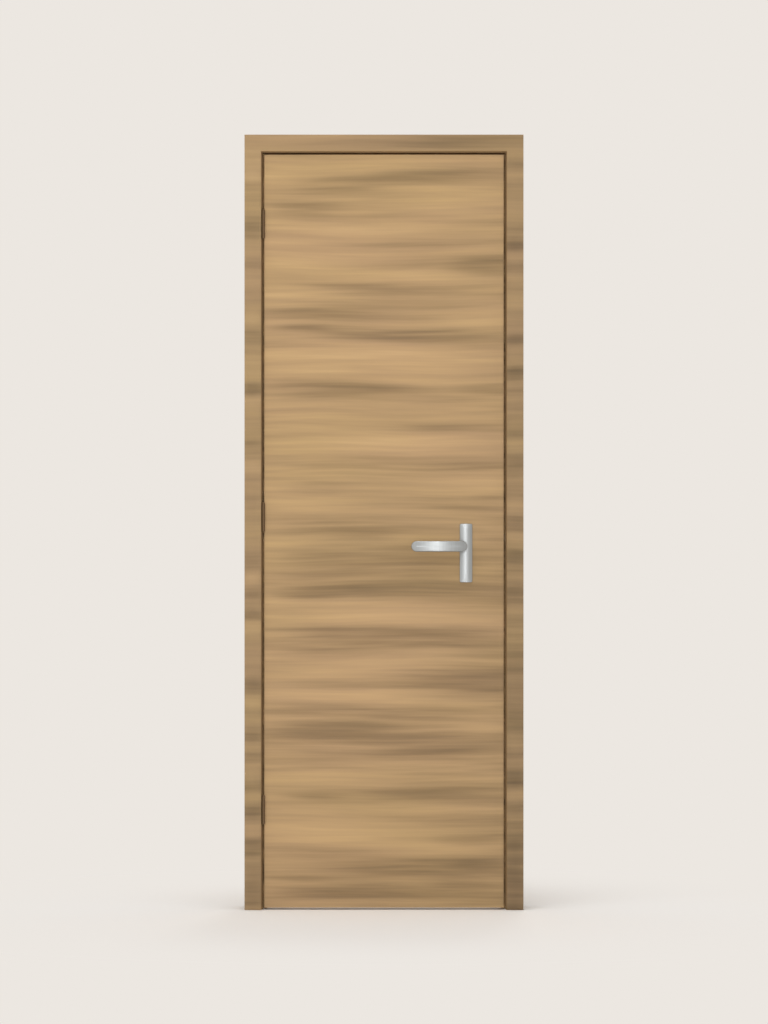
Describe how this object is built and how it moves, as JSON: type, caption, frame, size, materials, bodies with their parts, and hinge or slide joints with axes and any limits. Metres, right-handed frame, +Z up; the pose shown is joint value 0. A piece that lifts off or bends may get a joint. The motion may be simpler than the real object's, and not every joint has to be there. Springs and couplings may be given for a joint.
{
  "type": "flush hollow core door",
  "caption": "Flush hollow core door leaf hung in a jamb with plain casings, with a long-plate lever handle and latch.",
  "frame": {"origin": "on the wall face of the hinge jamb, at floor level, in the middle of the jamb's depth", "axes": "+X from the hinge side to the lock side, +Y through the wall to the back, +Z up"},
  "size_m": [0.7516, 0.1745, 2.0888],
  "materials": {
    "leaf_face": "satin veneer with the grain across",
    "frame_face": "satin veneer with the grain across",
    "jamb_wood": "satin veneer",
    "core_wood": "bare softwood",
    "core_paper": "brown paper",
    "hinge_bronze": "dark bronze",
    "handle_metal": "satin",
    "latch_steel": "satin"
  },
  "bodies": {
    "frame": {"hinge_jamb": "jamb_wood", "lock_jamb": "jamb_wood", "head_jamb": "jamb_wood", "hinge_stop": "jamb_wood", "lock_stop": "jamb_wood", "head_stop": "jamb_wood", "front_casing_hinge_side": "frame_face", "front_casing_lock_side": "frame_face", "front_casing_head": "frame_face", "back_casing_hinge_side": "frame_face", "back_casing_lock_side": "frame_face", "back_casing_head": "frame_face", "strike_plate": "latch_steel", "hinge_jamb_plate_low": "hinge_bronze", "hinge_pin_low": "hinge_bronze", "hinge_jamb_plate_middle": "hinge_bronze", "hinge_pin_middle": "hinge_bronze", "hinge_jamb_plate_top": "hinge_bronze", "hinge_pin_top": "hinge_bronze"},
    "door": {"front_skin": "leaf_face", "back_skin": "leaf_face", "hinge_stile": "core_wood", "lock_stile": "core_wood", "top_rail": "core_wood", "bottom_rail": "core_wood", "lock_block": "core_wood", "honeycomb_core": "core_paper", "hinge_leaf_plate_low": "hinge_bronze", "hinge_leaf_plate_middle": "hinge_bronze", "hinge_leaf_plate_top": "hinge_bronze", "latch_case": "latch_steel", "latch_faceplate": "latch_steel", "front_handle_plate": "handle_metal", "back_handle_plate": "handle_metal"},
    "handle_set": {"front_lever": "handle_metal", "back_lever": "handle_metal", "spindle": "latch_steel", "follower": "latch_steel"},
    "latch": {"latch_bolt": "latch_steel"}
  },
  "joints": [
    {"name": "door_swing", "type": "hinge", "parent": "frame", "child": "door", "pos_m": [0.02465, -0.0545, 1], "axis": [0, 0, -1], "range_deg": [0, 110]},
    {"name": "lever_turn", "type": "hinge", "parent": "door", "child": "handle_set", "pos_m": [0.566, -0.03, 0.98], "axis": [0, -1, 0], "range_deg": [0, 40], "stiffness_Nm_per_rad": 1.2, "springref_deg": -57.3},
    {"name": "latch_slide", "type": "slide", "parent": "door", "child": "latch", "axis": [-1, 0, 0], "range_m": [0, 0.0122]}
  ],
  "couplings": [
    {"joint": "latch_slide", "follows": "lever_turn", "m_per_rad": 0.017189}
  ]
}
